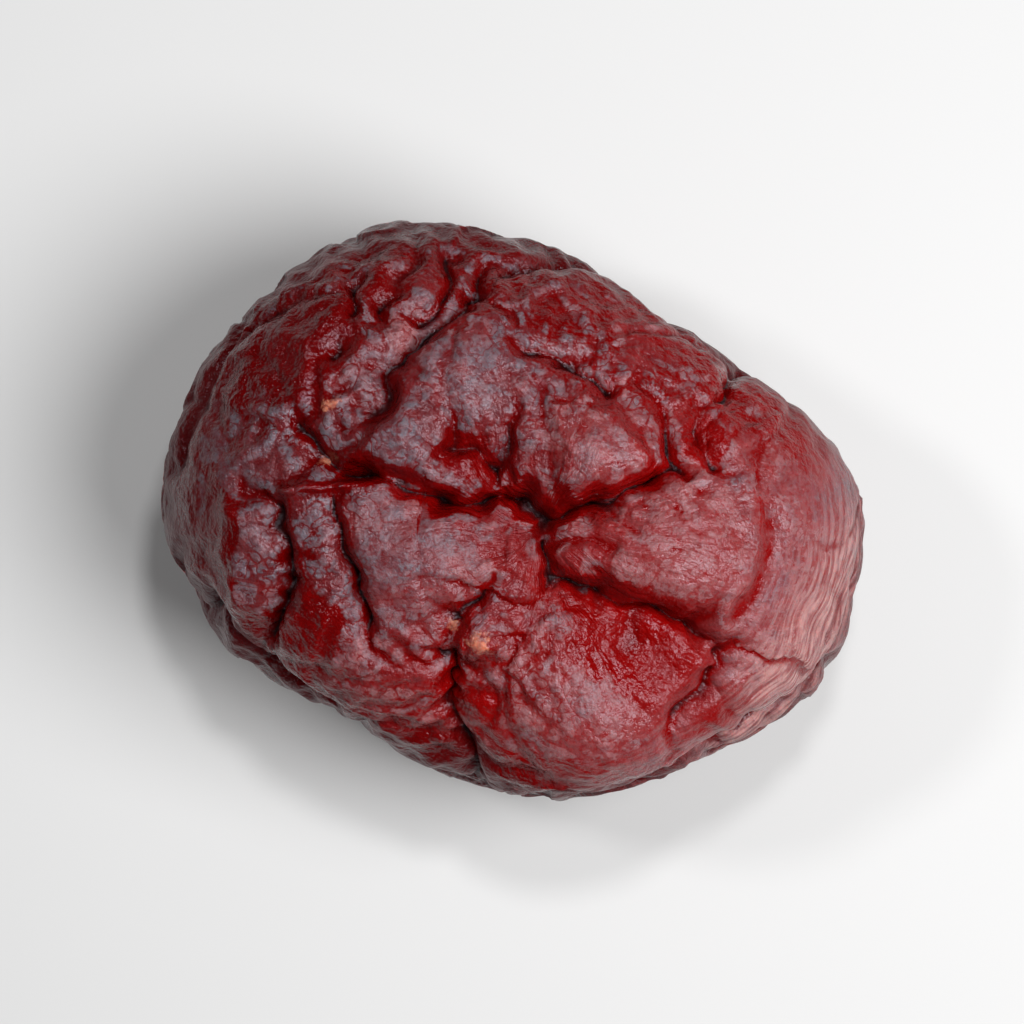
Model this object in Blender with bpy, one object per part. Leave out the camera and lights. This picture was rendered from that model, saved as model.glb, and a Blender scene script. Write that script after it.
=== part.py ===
"""One whole dried cranberry, shrunk and folded, lying on the small flat spot pressed into its underside.

Every length is in millimetres until the finished mesh is scaled to metres.
The berry's long side runs along X, the folded top faces +Z, and the origin is under its middle.
"""

import math
import random

import bmesh
import bpy
import numpy as np
from mathutils import Vector, noise

METRES = 0.001

# Driving dimensions of the plump body that the folds are pressed into
BODY_LENGTH = 16.4
BODY_WIDTH = 12.6
BODY_HEIGHT = 9.9
BODY_SQUARENESS = 2.25
LONG_AXIS_TURN = math.radians(-20.0)
FLAT_SPOT_DEPTH = 0.28

SEED = 4
SPHERE_SUBDIVISIONS = 7
TRIANGLES = 10000

SKIN_COLOUR = (0.155, 0.033, 0.039, 1.0)
SKIN_ROUGHNESS = 0.36

# Soft swellings and hollows of the top face: centre (x, y), reach, rise
TOP_SWELLS = {
    "middle_hollow": ((0.2, 0.2), 3.6, -0.60),
    "right_end": ((6.0, -0.8), 2.6, 0.35),
    "right_cheek": ((1.7, 1.5), 1.35, 0.55),
    "left_cheek": ((-2.6, 1.7), 1.1, 0.30),
    "upper_panel": ((-0.6, 3.3), 1.5, 0.30),
    "flat_plate": ((-2.4, -1.2), 1.3, 0.30),
    "lower_left_bump": ((-3.5, -3.8), 1.2, 0.30),
    "lower_lobe": ((1.9, -5.4), 1.7, 0.50),
    "right_shoulder": ((3.6, -1.0), 1.5, 0.40),
    "shelf_hollow": ((2.9, -3.3), 1.15, -0.65),
    "seed_bump": ((-0.8, -3.1), 0.5, 0.30),
}

# Swellings and hollows of the rim, seen from above: angle in degrees, reach, rise
RIM_SWELLS = {
    "right_tip": (2, 1.6, 0.26),
    "right_step": (22, 2.1, -0.42),
    "upper_right_flat": (49, 3.1, -0.98),
    "top_corner": (87, 1.7, -0.24),
    "upper_left_corner": (139, 2.6, -0.52),
    "lower_left_flat": (232, 2.4, -0.28),
    "lower_bulge": (262, 1.9, 0.42),
    "lower_right_corner": (306, 2.2, -0.48),
    "right_corner": (335, 1.8, 0.14),
}

# Folds of the top face: start, end, bow to the left, depth, half width, lip on the left, lip on the right
TOP_FOLDS = {
    "main_left": ((-4.3, 1.15), (-0.3, 0.15), -0.3, 1.05, 0.34, 0.28, 0.06),
    "main_middle": ((-0.5, 0.15), (1.4, -0.15), 0.0, 1.00, 0.34, 0.15, 0.06),
    "main_right": ((1.2, -0.15), (3.6, 1.1), -0.2, 1.20, 0.32, 0.35, 0.06),
    "cheek_split": ((0.0, 0.3), (-0.1, 2.2), 0.12, 0.16, 0.18, 0.0, 0.04),
    "cheek_pit": ((-1.95, 1.85), (-0.4, 0.5), 0.3, 0.75, 0.34, 0.04, 0.08),
    "left_corner": ((-4.0, 1.0), (-5.0, 2.1), 0.1, 0.70, 0.32, 0.05, 0.10),
    "plate_left": ((-4.25, 0.4), (-2.85, -3.5), -0.3, 0.65, 0.21, 0.10, 0.02),
    "flap_edge": ((-6.0, 0.3), (-5.9, -3.3), 0.7, 0.60, 0.20, 0.10, 0.08),
    "left_ridge": ((-5.7, 0.5), (-2.6, 0.15), 0.0, -0.30, 0.15, 0.0, 0.0),
    "star_down": ((0.8, -0.6), (0.9, -2.2), 0.1, 0.50, 0.30, 0.04, 0.06),
    "star_right": ((1.0, -0.7), (2.3, -1.2), 0.05, 0.22, 0.18, 0.0, 0.0),
    "lower_shelf": ((0.8, -2.05), (4.95, -3.1), 0.2, 0.95, 0.36, 0.35, 0.02),
    "shelf_tail": ((4.9, -3.05), (3.8, -4.9), 0.1, 0.35, 0.24, 0.05, 0.05),
    "plate_right": ((-0.6, -1.6), (-2.1, -3.5), 0.1, 0.30, 0.20, 0.08, 0.0),
    "lower_groove": ((-1.35, -2.9), (-0.75, -6.7), -0.35, 0.80, 0.60, 0.05, 0.05),
    "upper_diagonal": ((-3.7, 1.9), (-0.4, 5.8), 0.2, 0.60, 0.40, 0.05, 0.08),
    "upper_streak_outer": ((-3.3, 5.8), (-4.5, 3.0), 0.15, 0.40, 0.22, 0.06, 0.06),
    "upper_streak_middle": ((-2.4, 6.0), (-3.4, 3.9), 0.1, 0.42, 0.22, 0.06, 0.06),
    "upper_streak_inner": ((-1.4, 6.0), (-2.2, 4.4), -0.1, 0.35, 0.20, 0.06, 0.06),
    "flap_ridge": ((-6.6, 0.3), (-6.5, -3.2), 0.35, -0.35, 0.55, 0.0, 0.0),
    "upper_right_valley": ((0.2, 4.0), (2.4, 2.5), 0.2, 0.40, 0.26, 0.04, 0.06),
    "right_slit_inner": ((3.5, 2.3), (4.2, 0.6), -0.1, 0.50, 0.20, 0.08, 0.08),
    "right_slit_outer": ((4.3, 2.2), (4.9, 0.9), -0.1, 0.50, 0.24, 0.08, 0.08),
    "rim_notch": ((5.9, 4.3), (4.6, 2.3), 0.1, 0.45, 0.40, 0.05, 0.05),
}

# How folds wander off their lines: reach and size of the bends, broad and small
FOLD_BENDS = (0.45, 1.7)
FOLD_KINKS = (0.16, 0.55)

# Points on a fold's line, the share of its length over which it fades at each end, and its strength left there
FOLD_POINTS = 7
FOLD_FADE = 0.18
FOLD_END_STRENGTH = 0.25

# Place of the lips in half widths, and closing of the valley
FOLD_LIP_PLACE = 2.4
FOLD_CLOSING = 0.2

# Long folds round the sides and the underside, laid roughly level by a seeded draw
SIDE_FOLD_COUNT = 34
SIDE_FOLD_HEIGHTS = (-75.0, 12.0)
SIDE_FOLD_SPANS = (24.0, 62.0)
SIDE_FOLD_DEPTHS = (0.20, 0.65)
SIDE_FOLD_WIDTHS = (0.32, 0.60)
SIDE_FOLD_SLANT = 24.0
SIDE_FOLD_BOW = 7.0
SIDE_FOLD_LIP = 0.18
SIDE_FOLD_POINTS = 9
SIDE_FOLD_CROWDING = 0.7
SIDE_FOLD_STRAY_UP = 6.0
SIDE_FOLD_STRAY_ROUND = 12.0
GOLDEN_TURN = 137.508

# Creases between the folds
CREASE_SPACING = 3.3
CREASE_WIDTH = 0.38
CREASE_DEPTH = 0.09
CREASE_VALLEY_SHARE = 0.60
CREASE_BENDS = (0.8, 2.6)
CREASE_SHIFT = (2.3 * SEED + 4.9, 4.1 * SEED + 8.9, 1.9 * SEED + 3.9)

# Numbers that turn a place into an even random pick from 0 to 1
PICK_TURNS = (25.8, 156.5, 75.4)
PICK_STRETCH = 43758.5

# Steps between the seeds of the soft noise
NOISE_STEPS = (7.31, 3.17, 5.77)

# Heights above the lowest point between which the folds come up to full depth, and the share left at the foot
FOOT_HEIGHTS = (0.3, 1.6)
FOOT_RELIEF = 0.15

# Tight patches of skin that stay smoother: centre (x, y) on the top face, reach, share of the creases taken away
TIGHT_PATCHES = {
    "right_end": ((6.3, -1.0), 3.0, 0.75),
    "right_shoulder": ((3.8, -1.0), 1.5, 0.45),
    "flat_plate": ((-2.3, -1.3), 1.5, 0.70),
    "lower_lobe": ((2.2, -4.9), 1.9, 0.50),
    "upper_panel": ((-0.6, 3.2), 1.3, 0.50),
    "left_cheek": ((-2.4, 1.5), 1.0, 0.40),
    "right_cheek": ((1.8, 1.5), 1.2, 0.50),
    "left_end": ((-7.2, 0.3), 2.2, 0.70),
}


def turned(points):
    """Plan coordinates of points along and across the body's long axis."""
    c, s = math.cos(LONG_AXIS_TURN), math.sin(LONG_AXIS_TURN)
    return points[:, 0] * c + points[:, 1] * s, points[:, 1] * c - points[:, 0] * s


def body_point(directions):
    """Where rays from the centre along the given unit directions leave the plump body."""
    along, across = turned(directions)
    e = BODY_SQUARENESS
    reach = np.abs(2.0 * along / BODY_LENGTH) ** e
    reach += np.abs(2.0 * across / BODY_WIDTH) ** e
    reach += np.abs(2.0 * directions[:, 2] / BODY_HEIGHT) ** e
    return directions * reach[:, None] ** (-1.0 / e)


def body_normal(points):
    """Outward unit normals of the plump body at points on it."""
    along, across = turned(points)
    e = BODY_SQUARENESS - 1.0
    g_along = np.sign(along) * np.abs(2.0 * along / BODY_LENGTH) ** e / BODY_LENGTH
    g_across = np.sign(across) * np.abs(2.0 * across / BODY_WIDTH) ** e / BODY_WIDTH
    g_up = np.sign(points[:, 2]) * np.abs(2.0 * points[:, 2] / BODY_HEIGHT) ** e / BODY_HEIGHT
    c, s = math.cos(LONG_AXIS_TURN), math.sin(LONG_AXIS_TURN)
    normals = np.column_stack([g_along * c - g_across * s, g_along * s + g_across * c, g_up])
    return normals / np.linalg.norm(normals, axis=1)[:, None]


def on_top(plan):
    """The body's top face over plan points."""
    plan = np.atleast_2d(np.asarray(plan, float))
    along, across = turned(plan)
    e = BODY_SQUARENESS
    left = 1.0 - np.abs(2.0 * along / BODY_LENGTH) ** e - np.abs(2.0 * across / BODY_WIDTH) ** e
    return np.column_stack([plan, 0.5 * BODY_HEIGHT * np.maximum(left, 0.0) ** (1.0 / e)])


def towards(azimuth, elevation):
    """Unit directions from angles in degrees."""
    a, b = np.radians(azimuth), np.radians(elevation)
    return np.column_stack([np.cos(a) * np.cos(b), np.sin(a) * np.cos(b), np.sin(b)])


def smooth_step(value, low, high):
    t = np.clip((value - low) / (high - low), 0.0, 1.0)
    return t * t * (3.0 - 2.0 * t)


def soft_noise(points, size, seed):
    """Smooth noise from about -1 to 1, with bumps of the given size."""
    shift = Vector([step * seed + 0.5 for step in NOISE_STEPS])
    return np.array([noise.noise(Vector(p) / size + shift) for p in points])


def wavering(points, reach, size, seed):
    """The points, each moved a little, so that what is laid out by them wanders."""
    return points + reach * np.stack([soft_noise(points, size, seed + k) for k in range(3)], axis=1)


def creased(points):
    """How far the creases lift each point: sharp valleys and a few ridges along the borders of a cell pattern."""
    shift = Vector(CREASE_SHIFT)
    turn_x, turn_y, turn_z = PICK_TURNS
    lift = np.zeros(len(points))
    for i, point in enumerate(wavering(points, *CREASE_BENDS, SEED + 30)):
        q = Vector(point) / CREASE_SPACING + shift
        own, *others = noise.voronoi(q)[1][:3]
        for other in others:
            middle = (own + other) / 2.0
            gap = (middle - q).dot((other - own).normalized()) * CREASE_SPACING
            pick = math.sin(middle.x * turn_x + middle.y * turn_y + middle.z * turn_z) * PICK_STRETCH
            pick -= math.floor(pick)
            valley = pick < CREASE_VALLEY_SHARE
            height = pick / CREASE_VALLEY_SHARE - 1.0 if valley else pick - CREASE_VALLEY_SHARE
            lift[i] += CREASE_DEPTH * height * math.exp(-max(gap, 0.0) / CREASE_WIDTH)
    return lift


def top_fold_lines():
    """Each top fold as a short polyline on the top face, with its depth, half width and lips."""
    for start, end, bow, depth, width, lip_left, lip_right in TOP_FOLDS.values():
        a, b = np.array(start), np.array(end)
        t = np.linspace(0.0, 1.0, FOLD_POINTS)[:, None]
        left = np.array([a[1] - b[1], b[0] - a[0]]) / np.linalg.norm(b - a)
        yield on_top(a + (b - a) * t + left * bow * 4.0 * t * (1.0 - t)), depth, width, lip_left, lip_right


def side_fold_lines():
    """Long folds spread round the sides and the underside, roughly level and one above the other."""
    draw = random.Random(SEED)
    low, high = SIDE_FOLD_HEIGHTS
    for k in range(SIDE_FOLD_COUNT):
        share = (k + 0.5) / SIDE_FOLD_COUNT
        middle_up = low + (high - low) * share ** SIDE_FOLD_CROWDING
        middle_up += draw.uniform(-SIDE_FOLD_STRAY_UP, SIDE_FOLD_STRAY_UP)
        middle_round = GOLDEN_TURN * k + draw.uniform(-SIDE_FOLD_STRAY_ROUND, SIDE_FOLD_STRAY_ROUND)
        span = draw.uniform(*SIDE_FOLD_SPANS) / max(math.cos(math.radians(middle_up)), 0.45)
        slant = draw.uniform(-SIDE_FOLD_SLANT, SIDE_FOLD_SLANT)
        bow = draw.uniform(-SIDE_FOLD_BOW, SIDE_FOLD_BOW)
        depth = draw.uniform(*SIDE_FOLD_DEPTHS)
        width = draw.uniform(*SIDE_FOLD_WIDTHS)
        t = np.linspace(-1.0, 1.0, SIDE_FOLD_POINTS)
        line = body_point(towards(middle_round + t * span / 2.0, middle_up + t * slant + bow * (1.0 - t * t)))
        depth *= looseness(line[SIDE_FOLD_POINTS // 2:][:1])[0]
        yield line, depth, width, SIDE_FOLD_LIP * depth, SIDE_FOLD_LIP * depth


def nearest_on_line(points, line):
    """For each point: its gap to the polyline, how far along that is, the place there and the line's heading."""
    gap = np.full(len(points), np.inf)
    share = np.zeros(len(points))
    place = np.zeros_like(points)
    heading = np.zeros_like(points)
    pieces = len(line) - 1
    for k in range(pieces):
        step = line[k + 1] - line[k]
        t = np.clip((points - line[k]) @ step / (step @ step), 0.0, 1.0)
        foot = line[k] + t[:, None] * step
        distance = np.linalg.norm(points - foot, axis=1)
        closer = distance < gap
        gap[closer] = distance[closer]
        share[closer] = (k + t[closer]) / pieces
        place[closer] = foot[closer]
        heading[closer] = step / np.linalg.norm(step)
    return gap, share, place, heading


def looseness(points):
    """How loose the skin is at each point: 1, and less on the tight patches."""
    kept = np.ones(len(points))
    for centre, reach, taken in TIGHT_PATCHES.values():
        gap = np.linalg.norm(points - on_top(centre)[0], axis=1)
        kept *= 1.0 - taken * np.exp(-(gap / reach) ** 2)
    return kept


def swelled(points):
    """How far the soft swellings and hollows lift each point."""
    lift = np.zeros(len(points))
    for centre, reach, rise in TOP_SWELLS.values():
        gap = np.linalg.norm(points - on_top(centre)[0], axis=1)
        lift += rise * np.exp(-(gap / reach) ** 2)
    for angle, reach, rise in RIM_SWELLS.values():
        gap = np.linalg.norm(points - body_point(towards([angle], [0.0]))[0], axis=1)
        lift += rise * np.exp(-(gap / reach) ** 2)
    return lift


def folded(points, normals):
    """How far the folds lift each point, and how far they draw it sideways to close over the valley."""
    lift = np.zeros(len(points))
    slide = np.zeros_like(points)
    wandering = wavering(wavering(points, *FOLD_BENDS, SEED + 1), *FOLD_KINKS, SEED + 5)
    for line, depth, width, lip_left, lip_right in [*top_fold_lines(), *side_fold_lines()]:
        gap, share, place, heading = nearest_on_line(wandering, line)
        fade = smooth_step(share, 0.0, FOLD_FADE) * smooth_step(1.0 - share, 0.0, FOLD_FADE)
        strength = FOLD_END_STRENGTH + (1.0 - FOLD_END_STRENGTH) * fade
        lift -= depth * strength * np.exp(-gap / width)
        to_left = np.einsum("ij,ij->i", np.cross(normals, heading), wandering - place)
        lip = np.where(to_left > 0.0, lip_left, lip_right)
        lip_place = FOLD_LIP_PLACE * width
        lift += lip * strength * gap / lip_place * np.exp(1.0 - gap / lip_place)
        inward = (place - wandering) / np.maximum(gap, 1e-6)[:, None]
        pull = FOLD_CLOSING * max(-1.0, min(depth, 1.0)) * strength * gap * np.exp(1.0 - gap / width)
        slide += inward * pull[:, None]
    return lift, slide


def above_foot(points):
    """1 over most of the berry, falling to 0 at the flat spot."""
    return smooth_step(points[:, 2] + 0.5 * BODY_HEIGHT, *FOOT_HEIGHTS)


def shaped(directions):
    """The berry's surface along unit directions from the centre of the plump body."""
    points = body_point(directions)
    normals = body_normal(points)
    free = above_foot(points)
    lift, slide = folded(points, normals)
    lift += creased(points) * looseness(points)
    lift *= FOOT_RELIEF + (1.0 - FOOT_RELIEF) * free
    slide *= free[:, None]
    return points + normals * (lift + swelled(points))[:, None] + slide


def evaluated_copy(name, source):
    """A new object with the source's modifiers applied; the source is removed."""
    mesh = bpy.data.meshes.new_from_object(source.evaluated_get(bpy.context.evaluated_depsgraph_get()))
    bpy.data.objects.remove(source)
    mesh.name = name
    return bpy.data.objects.new(name, mesh)


def cut_flat_spot(mesh):
    """Cuts the underside level, closes it with one flat face and stands the mesh on z = 0 over the origin."""
    bm = bmesh.new()
    bm.from_mesh(mesh)
    level = min(v.co.z for v in bm.verts) + FLAT_SPOT_DEPTH
    everything = [*bm.verts, *bm.edges, *bm.faces]
    cut = bmesh.ops.bisect_plane(bm, geom=everything, plane_co=(0, 0, level), plane_no=(0, 0, -1), clear_outer=True)
    rim = [e for e in cut["geom_cut"] if isinstance(e, bmesh.types.BMEdge)]
    bmesh.ops.contextual_create(bm, geom=rim)
    xs = [v.co.x for v in bm.verts]
    ys = [v.co.y for v in bm.verts]
    middle = Vector(((min(xs) + max(xs)) / 2.0, (min(ys) + max(ys)) / 2.0, level))
    for v in bm.verts:
        v.co = (v.co - middle) * METRES
    bmesh.ops.recalc_face_normals(bm, faces=bm.faces)
    bm.to_mesh(mesh)
    bm.free()


def skin_material():
    """Dark red, half glossy skin."""
    material = bpy.data.materials.new("cranberry_skin")
    material.use_nodes = True
    shader = material.node_tree.nodes["Principled BSDF"]
    shader.inputs["Base Color"].default_value = SKIN_COLOUR
    shader.inputs["Roughness"].default_value = SKIN_ROUGHNESS
    shader.inputs["Metallic"].default_value = 0.0
    material.diffuse_color = SKIN_COLOUR
    return material


def make_berry(collection):
    """The whole berry as one closed solid."""
    bm = bmesh.new()
    bmesh.ops.create_icosphere(bm, subdivisions=SPHERE_SUBDIVISIONS, radius=1.0)
    directions = np.array([v.co.normalized()[:] for v in bm.verts])
    for vertex, place in zip(bm.verts, shaped(directions)):
        vertex.co = place
    mesh = bpy.data.meshes.new("berry_fine")
    bm.to_mesh(mesh)
    bm.free()
    fine = bpy.data.objects.new("berry_fine", mesh)
    collection.objects.link(fine)
    thinned = fine.modifiers.new("thinned", "DECIMATE")
    thinned.ratio = TRIANGLES / len(mesh.polygons)
    berry = evaluated_copy("cranberry", fine)
    cut_flat_spot(berry.data)
    berry.data.materials.append(skin_material())
    berry.data.shade_smooth()
    collection.objects.link(berry)
    return berry


def main():
    for obj in list(bpy.data.objects):
        bpy.data.objects.remove(obj)
    collection = bpy.data.collections.new("dried_cranberry")
    bpy.context.scene.collection.children.link(collection)
    make_berry(collection)


if __name__ == "__main__":
    main()
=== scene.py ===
"""Dresses a packed dried cranberry in a finely wrinkled, translucent skin, and puts it on a pale stage."""

import math
import random

import bpy
import numpy as np
from bpy.props import FloatProperty, FloatVectorProperty, IntProperty, PointerProperty
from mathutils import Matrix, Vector, noise


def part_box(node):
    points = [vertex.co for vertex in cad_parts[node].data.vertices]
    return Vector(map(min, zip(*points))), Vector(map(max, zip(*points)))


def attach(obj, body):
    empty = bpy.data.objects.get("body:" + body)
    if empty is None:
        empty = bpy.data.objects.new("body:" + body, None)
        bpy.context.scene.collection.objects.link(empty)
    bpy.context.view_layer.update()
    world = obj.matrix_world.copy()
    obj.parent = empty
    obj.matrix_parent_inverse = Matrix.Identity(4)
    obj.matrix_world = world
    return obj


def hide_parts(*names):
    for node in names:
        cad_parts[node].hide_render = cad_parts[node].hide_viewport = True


bl_info = {
    "name": "Dried cranberry",
    "version": (1, 0, 0),
    "blender": (4, 5, 0),
    "location": "3D View > Sidebar > Cranberry",
    "description": "Makes one wrinkled dried cranberry over its packed solid, and a plain stage for it",
    "category": "Object",
}

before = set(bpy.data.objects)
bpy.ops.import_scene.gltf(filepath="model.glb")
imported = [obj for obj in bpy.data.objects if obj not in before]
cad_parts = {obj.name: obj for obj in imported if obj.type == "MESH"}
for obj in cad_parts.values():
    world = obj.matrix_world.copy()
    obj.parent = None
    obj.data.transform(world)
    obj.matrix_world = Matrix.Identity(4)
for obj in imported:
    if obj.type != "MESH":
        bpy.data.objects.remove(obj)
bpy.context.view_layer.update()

NODE = "cranberry"
BODY = "root"
BOX_LOW, BOX_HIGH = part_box(NODE)
BOX_SIZE = BOX_HIGH - BOX_LOW

MM = 0.001
SEED = 4

# The plump body that the folds are pressed into, in millimetres as all of the form below
BODY_LENGTH = 16.4
BODY_WIDTH = 12.6
BODY_HEIGHT = 9.9
BODY_SQUARENESS = 2.25
LONG_AXIS_TURN = math.radians(-20.0)
FLAT_SPOT_DEPTH = 0.28

# Soft swellings and hollows of the top face: centre (x, y), reach, rise
TOP_SWELLS = {
    "middle_hollow": ((0.2, 0.2), 3.6, -0.60),
    "right_end": ((6.0, -0.8), 2.6, 0.35),
    "right_cheek": ((1.7, 1.5), 1.35, 0.55),
    "left_cheek": ((-2.6, 1.7), 1.1, 0.30),
    "upper_panel": ((-0.6, 3.3), 1.5, 0.30),
    "flat_plate": ((-2.4, -1.2), 1.3, 0.30),
    "lower_left_bump": ((-3.5, -3.8), 1.2, 0.30),
    "lower_lobe": ((1.9, -5.4), 1.7, 0.50),
    "right_shoulder": ((3.6, -1.0), 1.5, 0.40),
    "shelf_hollow": ((2.9, -3.3), 1.15, -0.65),
    "seed_bump": ((-0.8, -3.1), 0.5, 0.30),
}

# Swellings and hollows of the rim, seen from above: angle in degrees, reach, rise
RIM_SWELLS = {
    "right_tip": (2, 1.6, 0.26),
    "right_step": (22, 2.1, -0.42),
    "upper_right_flat": (49, 3.1, -0.98),
    "top_corner": (87, 1.7, -0.24),
    "upper_left_corner": (139, 2.6, -0.52),
    "lower_left_flat": (232, 2.4, -0.28),
    "lower_bulge": (262, 1.9, 0.42),
    "lower_right_corner": (306, 2.2, -0.48),
    "right_corner": (335, 1.8, 0.14),
}

# Folds of the top face: start, end, bow to the left, depth, half width, lip on the left, lip on the right
TOP_FOLDS = {
    "main_left": ((-4.3, 1.15), (-0.3, 0.15), -0.3, 1.05, 0.34, 0.28, 0.06),
    "main_middle": ((-0.5, 0.15), (1.4, -0.15), 0.0, 1.00, 0.34, 0.15, 0.06),
    "main_right": ((1.2, -0.15), (3.6, 1.1), -0.2, 1.20, 0.32, 0.35, 0.06),
    "cheek_split": ((0.0, 0.3), (-0.1, 2.2), 0.12, 0.16, 0.18, 0.0, 0.04),
    "cheek_pit": ((-1.95, 1.85), (-0.4, 0.5), 0.3, 0.75, 0.34, 0.04, 0.08),
    "left_corner": ((-4.0, 1.0), (-5.0, 2.1), 0.1, 0.70, 0.32, 0.05, 0.10),
    "plate_left": ((-4.25, 0.4), (-2.85, -3.5), -0.3, 0.65, 0.21, 0.10, 0.02),
    "flap_edge": ((-6.0, 0.3), (-5.9, -3.3), 0.7, 0.60, 0.20, 0.10, 0.08),
    "left_ridge": ((-5.7, 0.5), (-2.6, 0.15), 0.0, -0.30, 0.15, 0.0, 0.0),
    "star_down": ((0.8, -0.6), (0.9, -2.2), 0.1, 0.50, 0.30, 0.04, 0.06),
    "star_right": ((1.0, -0.7), (2.3, -1.2), 0.05, 0.22, 0.18, 0.0, 0.0),
    "lower_shelf": ((0.8, -2.05), (4.95, -3.1), 0.2, 0.95, 0.36, 0.35, 0.02),
    "shelf_tail": ((4.9, -3.05), (3.8, -4.9), 0.1, 0.35, 0.24, 0.05, 0.05),
    "plate_right": ((-0.6, -1.6), (-2.1, -3.5), 0.1, 0.30, 0.20, 0.08, 0.0),
    "lower_groove": ((-1.35, -2.9), (-0.75, -6.7), -0.35, 0.80, 0.60, 0.05, 0.05),
    "upper_diagonal": ((-3.7, 1.9), (-0.4, 5.8), 0.2, 0.60, 0.40, 0.05, 0.08),
    "upper_streak_outer": ((-3.3, 5.8), (-4.5, 3.0), 0.15, 0.40, 0.22, 0.06, 0.06),
    "upper_streak_middle": ((-2.4, 6.0), (-3.4, 3.9), 0.1, 0.42, 0.22, 0.06, 0.06),
    "upper_streak_inner": ((-1.4, 6.0), (-2.2, 4.4), -0.1, 0.35, 0.20, 0.06, 0.06),
    "flap_ridge": ((-6.6, 0.3), (-6.5, -3.2), 0.35, -0.35, 0.55, 0.0, 0.0),
    "upper_right_valley": ((0.2, 4.0), (2.4, 2.5), 0.2, 0.40, 0.26, 0.04, 0.06),
    "right_slit_inner": ((3.5, 2.3), (4.2, 0.6), -0.1, 0.50, 0.20, 0.08, 0.08),
    "right_slit_outer": ((4.3, 2.2), (4.9, 0.9), -0.1, 0.50, 0.24, 0.08, 0.08),
    "rim_notch": ((5.9, 4.3), (4.6, 2.3), 0.1, 0.45, 0.40, 0.05, 0.05),
}

# How folds wander off their lines: reach, size and seed of the bends, broad and small
FOLD_BENDS = (0.45, 1.7, SEED + 1)
FOLD_KINKS = (0.16, 0.55, SEED + 5)

# Points on a fold's line, share of its length over which each end fades, and strength left at the ends
FOLD_POINTS = 7
FOLD_FADE = 0.18
FOLD_END_STRENGTH = 0.25

# Place of the lips in half widths, and closing of the valley
FOLD_LIP_PLACE = 2.4
FOLD_CLOSING = 0.2

# Long folds round the sides and the underside, laid roughly level by a seeded draw
SIDE_FOLD_COUNT = 34
SIDE_FOLD_HEIGHTS = (-75.0, 12.0)
SIDE_FOLD_SPANS = (24.0, 62.0)
SIDE_FOLD_DEPTHS = (0.20, 0.65)
SIDE_FOLD_WIDTHS = (0.32, 0.60)
SIDE_FOLD_SLANT = 24.0
SIDE_FOLD_BOW = 7.0
SIDE_FOLD_LIP = 0.18
SIDE_FOLD_POINTS = 9
SIDE_FOLD_CROWDING = 0.7
SIDE_FOLD_LEAST_GIRTH = 0.45
SIDE_FOLD_STRAY_UP = 6.0
SIDE_FOLD_STRAY_ROUND = 12.0
GOLDEN_TURN = 137.508

# Creases between the folds
CREASE_SPACING = 3.3
CREASE_WIDTH = 0.38
CREASE_DEPTH = 0.09
CREASE_VALLEY_SHARE = 0.60
CREASE_BENDS = (0.8, 2.6, SEED + 30)
CREASE_SHIFT = (2.3 * SEED + 4.9, 4.1 * SEED + 8.9, 1.9 * SEED + 3.9)

# Numbers that turn a place into an even random pick from 0 to 1
PICK_TURNS = (25.8, 156.5, 75.4)
PICK_STRETCH = 43758.5

# Steps between the seeds of the soft noise
NOISE_STEPS = (7.31, 3.17, 5.77)

# Smallest gap that is divided by
SMALLEST_GAP = 1e-6

# Heights above the lowest point over which the folds come to full depth, and share left at the foot
FOOT_HEIGHTS = (0.3, 1.6)
FOOT_RELIEF = 0.15

# Tight patches of skin that stay smoother: centre (x, y) on the top face, reach, share of the creases lost
TIGHT_PATCHES = {
    "right_end": ((6.3, -1.0), 3.0, 0.75),
    "right_shoulder": ((3.8, -1.0), 1.5, 0.45),
    "flat_plate": ((-2.3, -1.3), 1.5, 0.70),
    "lower_lobe": ((2.2, -4.9), 1.9, 0.50),
    "upper_panel": ((-0.6, 3.2), 1.3, 0.50),
    "left_cheek": ((-2.4, 1.5), 1.0, 0.40),
    "right_cheek": ((1.8, 1.5), 1.2, 0.50),
    "left_end": ((-7.2, 0.3), 2.2, 0.70),
}

# Flecks of dried flesh: centre (x, y) on the top face, reach
FLECKS = {
    "seed_bump": ((-0.75, -3.15), 0.42),
    "beside_seed_bump": ((-1.45, -2.85), 0.24),
    "left_corner": ((-4.5, 1.15), 0.22),
    "upper_left": ((-4.15, 2.45), 0.26),
    "lower_rim": ((-4.8, -4.4), 0.22),
}

# Bare places without the dull film and its painted sheen: centre (x, y) on the top face, reach
BARE_PLACES = {
    "shelf_hollow": ((2.4, -3.0), 0.85),
    "below_shelf": ((3.6, -3.7), 1.10),
    "right_of_shelf": ((4.6, -4.8), 0.80),
    "cheek_pit": ((-1.1, 1.3), 0.42),
    "lower_groove": ((-1.1, -4.9), 0.65),
    "left_streak": ((-6.6, -0.4), 0.55),
    "below_left_streak": ((-6.7, -1.6), 0.45),
    "under_plate": ((-4.7, -2.6), 0.55),
    "upper_left": ((-4.9, 3.9), 0.90),
    "between_streaks": ((-2.9, 5.2), 0.40),
    "right_slits": ((4.4, 1.5), 0.45),
    "lower_rim": ((3.6, -6.3), 0.80),
}

# Places where the film and its painted sheen lie thick and pale: centre (x, y) on the top face, reach
FILMED_AND_SHEENED_PLACES = {
    "upper_left_streak": ((-3.8, 4.8), 0.45),
    "upper_streak": ((-2.6, 4.1), 0.55),
    "above_left_corner": ((-3.5, 2.8), 0.45),
    "flap": ((-6.2, -0.8), 0.60),
    "lower_flap": ((-5.7, -2.1), 0.60),
    "lower_left_bump": ((-3.2, -4.0), 0.70),
    "beside_flecks": ((0.0, -3.6), 0.60),
    "right_cheek": ((1.0, 1.4), 0.80),
    "right_shoulder": ((3.6, -1.1), 1.20),
}

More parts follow.
